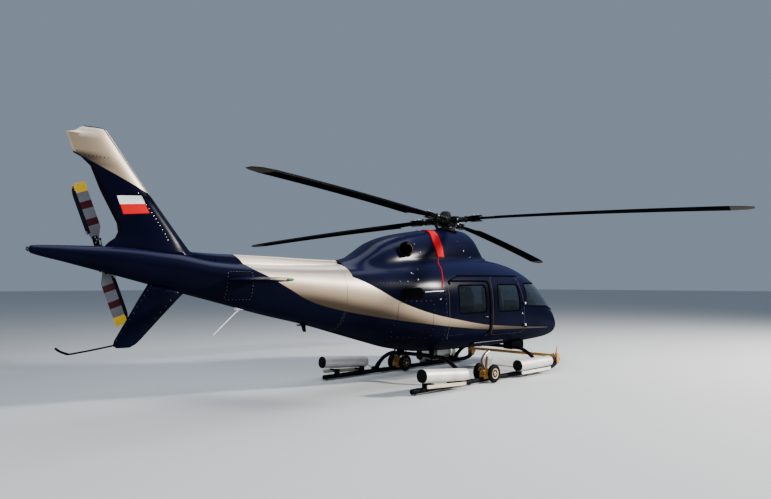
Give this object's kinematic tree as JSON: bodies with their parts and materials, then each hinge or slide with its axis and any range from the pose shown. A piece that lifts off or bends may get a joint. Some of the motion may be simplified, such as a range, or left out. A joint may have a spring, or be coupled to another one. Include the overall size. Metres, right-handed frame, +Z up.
{
  "type": "light single-turbine helicopter on skids",
  "caption": "Light helicopter with a hollow cabin, hinged front doors, main and tail rotors that turn together, skid gear with stowed floats and clamp-on handling wheels.",
  "frame": {"origin": "on the ground below the middle of the whole machine's length and width", "axes": "+X towards the nose, +Y to the left side, +Z up; Z = 0 is the ground under the skids"},
  "size_m": [12.898, 10.6481, 3.795],
  "materials": {
    "navy_paint": "high gloss near-black navy",
    "champagne_paint": "gloss metallic champagne",
    "cabin_glass": "clear, slightly tinted acrylic",
    "black_trim": "matt black",
    "seat_leather": "satin tan leather",
    "dark_metal": "dark satin metal",
    "exhaust_metal": "heat-browned steel",
    "red_fabric": "matt red cover",
    "blade_black": "satin black composite",
    "tail_blade_grey": "satin grey with red bands and yellow tips",
    "gear_black": "satin black",
    "silver_cover": "silver-grey coated fabric",
    "ground_yellow": "worn yellow enamel",
    "tyre": "matt black rubber"
  },
  "bodies": {
    "airframe": {"lower_fuselage": "navy_paint", "nose_cone": "navy_paint", "cabin_frame": "navy_paint", "sliding_door_right": "navy_paint", "sliding_door_left": "navy_paint", "sliding_window_right": "cabin_glass", "sliding_window_left": "cabin_glass", "windshield_right": "cabin_glass", "windshield_left": "cabin_glass", "rear_fuselage": "navy_paint", "tail_boom": "champagne_paint", "engine_block": "dark_metal", "exhaust_right": "exhaust_metal", "exhaust_left": "exhaust_metal", "intake_cover_right": "red_fabric", "intake_cover_left": "red_fabric", "engine_cowling": "navy_paint", "mast_cowling": "navy_paint", "vertical_fin": "navy_paint", "ventral_fin": "navy_paint", "tail_skid": "dark_metal", "stabiliser_right": "navy_paint", "stabiliser_left": "navy_paint", "driveshaft_cover": "champagne_paint", "tail_gearbox": "dark_metal", "instrument_panel": "black_trim", "front_seat_right": "seat_leather", "front_seat_left": "seat_leather", "rear_seat": "seat_leather", "crosstube_front": "gear_black", "crosstube_rear": "gear_black", "skid_right": "gear_black", "skid_left": "gear_black", "float_front_right": "silver_cover", "float_front_left": "silver_cover", "float_rear_right": "silver_cover", "float_rear_left": "silver_cover", "handling_frame_right": "ground_yellow", "handling_frame_left": "ground_yellow", "tow_beam": "ground_yellow"},
    "main_rotor": {"rotor_hub": "dark_metal", "swashplate": "dark_metal", "main_blade_1": "blade_black", "main_blade_2": "blade_black", "main_blade_3": "blade_black", "main_blade_4": "blade_black"},
    "tail_rotor": {"tail_rotor_hub": "dark_metal", "tail_blade_1": "tail_blade_grey", "tail_blade_2": "tail_blade_grey"},
    "right_front_door": {"front_door_right": "navy_paint", "front_window_right": "cabin_glass"},
    "left_front_door": {"front_door_left": "navy_paint", "front_window_left": "cabin_glass"},
    "right_wheels": {"handling_wheels_right": "tyre"},
    "left_wheels": {"handling_wheels_left": "tyre"}
  },
  "joints": [
    {"name": "main_rotor_spin", "type": "hinge", "parent": "airframe", "child": "main_rotor", "pos_m": [1.16099, 0, 3.091], "axis": [0.0836, 0.0417, 0.9956], "continuous": true},
    {"name": "tail_rotor_spin", "type": "hinge", "parent": "airframe", "child": "tail_rotor", "pos_m": [-5.49901, 0.33, 2.2], "axis": [0, 1, 0], "continuous": true},
    {"name": "right_front_door_hinge", "type": "hinge", "parent": "airframe", "child": "right_front_door", "pos_m": [2.76099, -0.82632, 0.95], "axis": [-0.062, -0.0427, 0.9972], "range_deg": [0, 75]},
    {"name": "left_front_door_hinge", "type": "hinge", "parent": "airframe", "child": "left_front_door", "pos_m": [2.76099, 0.82632, 0.95], "axis": [0.062, -0.0427, -0.9972], "range_deg": [0, 75]},
    {"name": "right_wheels_spin", "type": "hinge", "parent": "airframe", "child": "right_wheels", "pos_m": [0.98099, -1.12, 0.175], "axis": [0, 1, 0], "continuous": true},
    {"name": "left_wheels_spin", "type": "hinge", "parent": "airframe", "child": "left_wheels", "pos_m": [0.98099, 1.12, 0.175], "axis": [0, 1, 0], "continuous": true}
  ],
  "couplings": [
    {"joint": "tail_rotor_spin", "follows": "main_rotor_spin", "ratio": -5.43}
  ]
}
